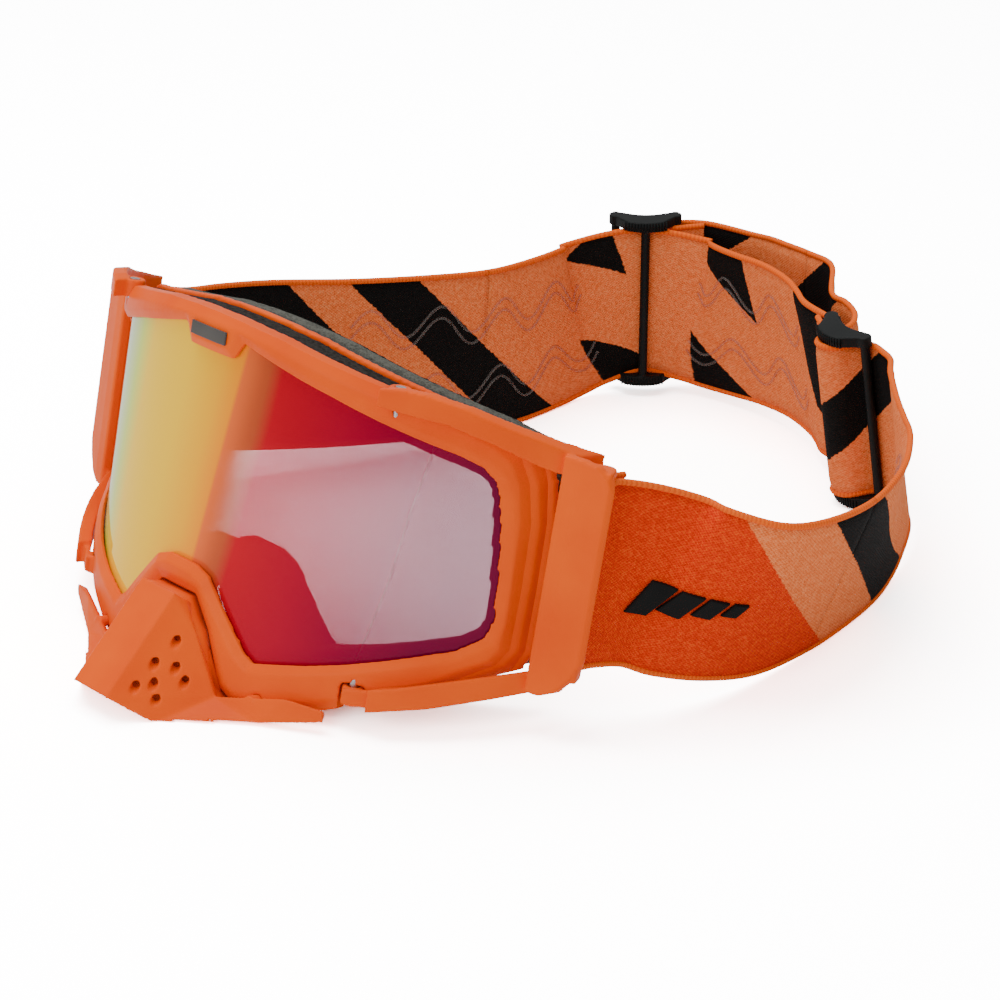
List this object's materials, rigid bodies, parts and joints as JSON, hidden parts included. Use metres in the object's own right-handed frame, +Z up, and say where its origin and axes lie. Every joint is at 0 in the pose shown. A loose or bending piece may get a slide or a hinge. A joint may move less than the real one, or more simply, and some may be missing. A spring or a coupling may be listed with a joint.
{
  "type": "motorcycle goggles",
  "caption": "Motocross goggles with a wraparound mirrored lens, vented foam-backed frame, removable nose guard, hinged outriggers and a wide adjustable elastic head strap.",
  "frame": {"origin": "middle of the whole object's footprint, on the surface it stands on", "axes": "the lens faces -Y, the head strap runs back along +Y, +X is the side of the goggle that a viewer facing the lens has on the right, and +Z is up"},
  "size_m": [0.2098, 0.2571, 0.0914],
  "materials": {
    "frame_plastic": "matt moulded orange",
    "lens_mirror": "mirror coated polycarbonate",
    "seal_rubber": "soft gasket",
    "badge_plastic": "satin grey",
    "vent_foam": "open-cell foam",
    "face_foam_dark": "firm foam",
    "face_foam": "soft foam",
    "fleece": "brushed fleece",
    "pin_steel": "turned",
    "strap_elastic": "woven elastic",
    "slide_plastic": "moulded black",
    "badge_rubber": "moulded raised",
    "grip_silicone": "clear printed silicone"
  },
  "bodies": {
    "root": {"front_frame": "frame_plastic", "inner_frame": "frame_plastic", "lens": "lens_mirror", "lens_seal": "seal_rubber", "tab_badge": "badge_plastic", "vent_foam_top": "vent_foam", "vent_foam_bottom": "vent_foam", "face_foam_base": "face_foam_dark", "face_foam_mid": "face_foam", "fleece_liner": "fleece", "hinge_pins_left": "pin_steel", "hinge_pins_right": "pin_steel", "strap_left": "strap_elastic", "strap_right": "strap_elastic", "strap_return": "strap_elastic", "strap_badge": "badge_rubber", "grip_lines_left": "grip_silicone", "grip_lines_right": "grip_silicone"},
    "outrigger_left": {"outrigger_left": "frame_plastic", "strap_anchor_left": "strap_elastic"},
    "outrigger_right": {"outrigger_right": "frame_plastic", "strap_anchor_right": "strap_elastic"},
    "slide_left": {"slide_left": "slide_plastic", "strap_end_right": "strap_elastic"},
    "slide_right": {"slide_right": "slide_plastic", "strap_end_left": "strap_elastic", "strap_turn": "strap_elastic"},
    "nose_guard": {"nose_guard": "frame_plastic"}
  },
  "joints": [
    {"name": "outrigger_left_hinge", "type": "hinge", "parent": "root", "child": "outrigger_left", "pos_m": [-0.0613, -0.07912, 0.04774], "axis": [0, 0.225, 0.9744], "range_deg": [0, 8]},
    {"name": "outrigger_right_hinge", "type": "hinge", "parent": "root", "child": "outrigger_right", "pos_m": [0.0367, -0.07912, 0.04774], "axis": [0, -0.225, -0.9744], "range_deg": [0, 8]},
    {"name": "slide_left_travel", "type": "slide", "parent": "root", "child": "slide_left", "axis": [0.712, 0.7022, 0], "range_m": [-0.003, 0.003]},
    {"name": "slide_right_travel", "type": "slide", "parent": "root", "child": "slide_right", "axis": [0.9397, -0.342, 0], "range_m": [-0.003, 0.003]},
    {"name": "nose_guard_pull", "type": "slide", "parent": "root", "child": "nose_guard", "axis": [0, -0.9744, 0.225], "range_m": [0, 0.012]}
  ]
}
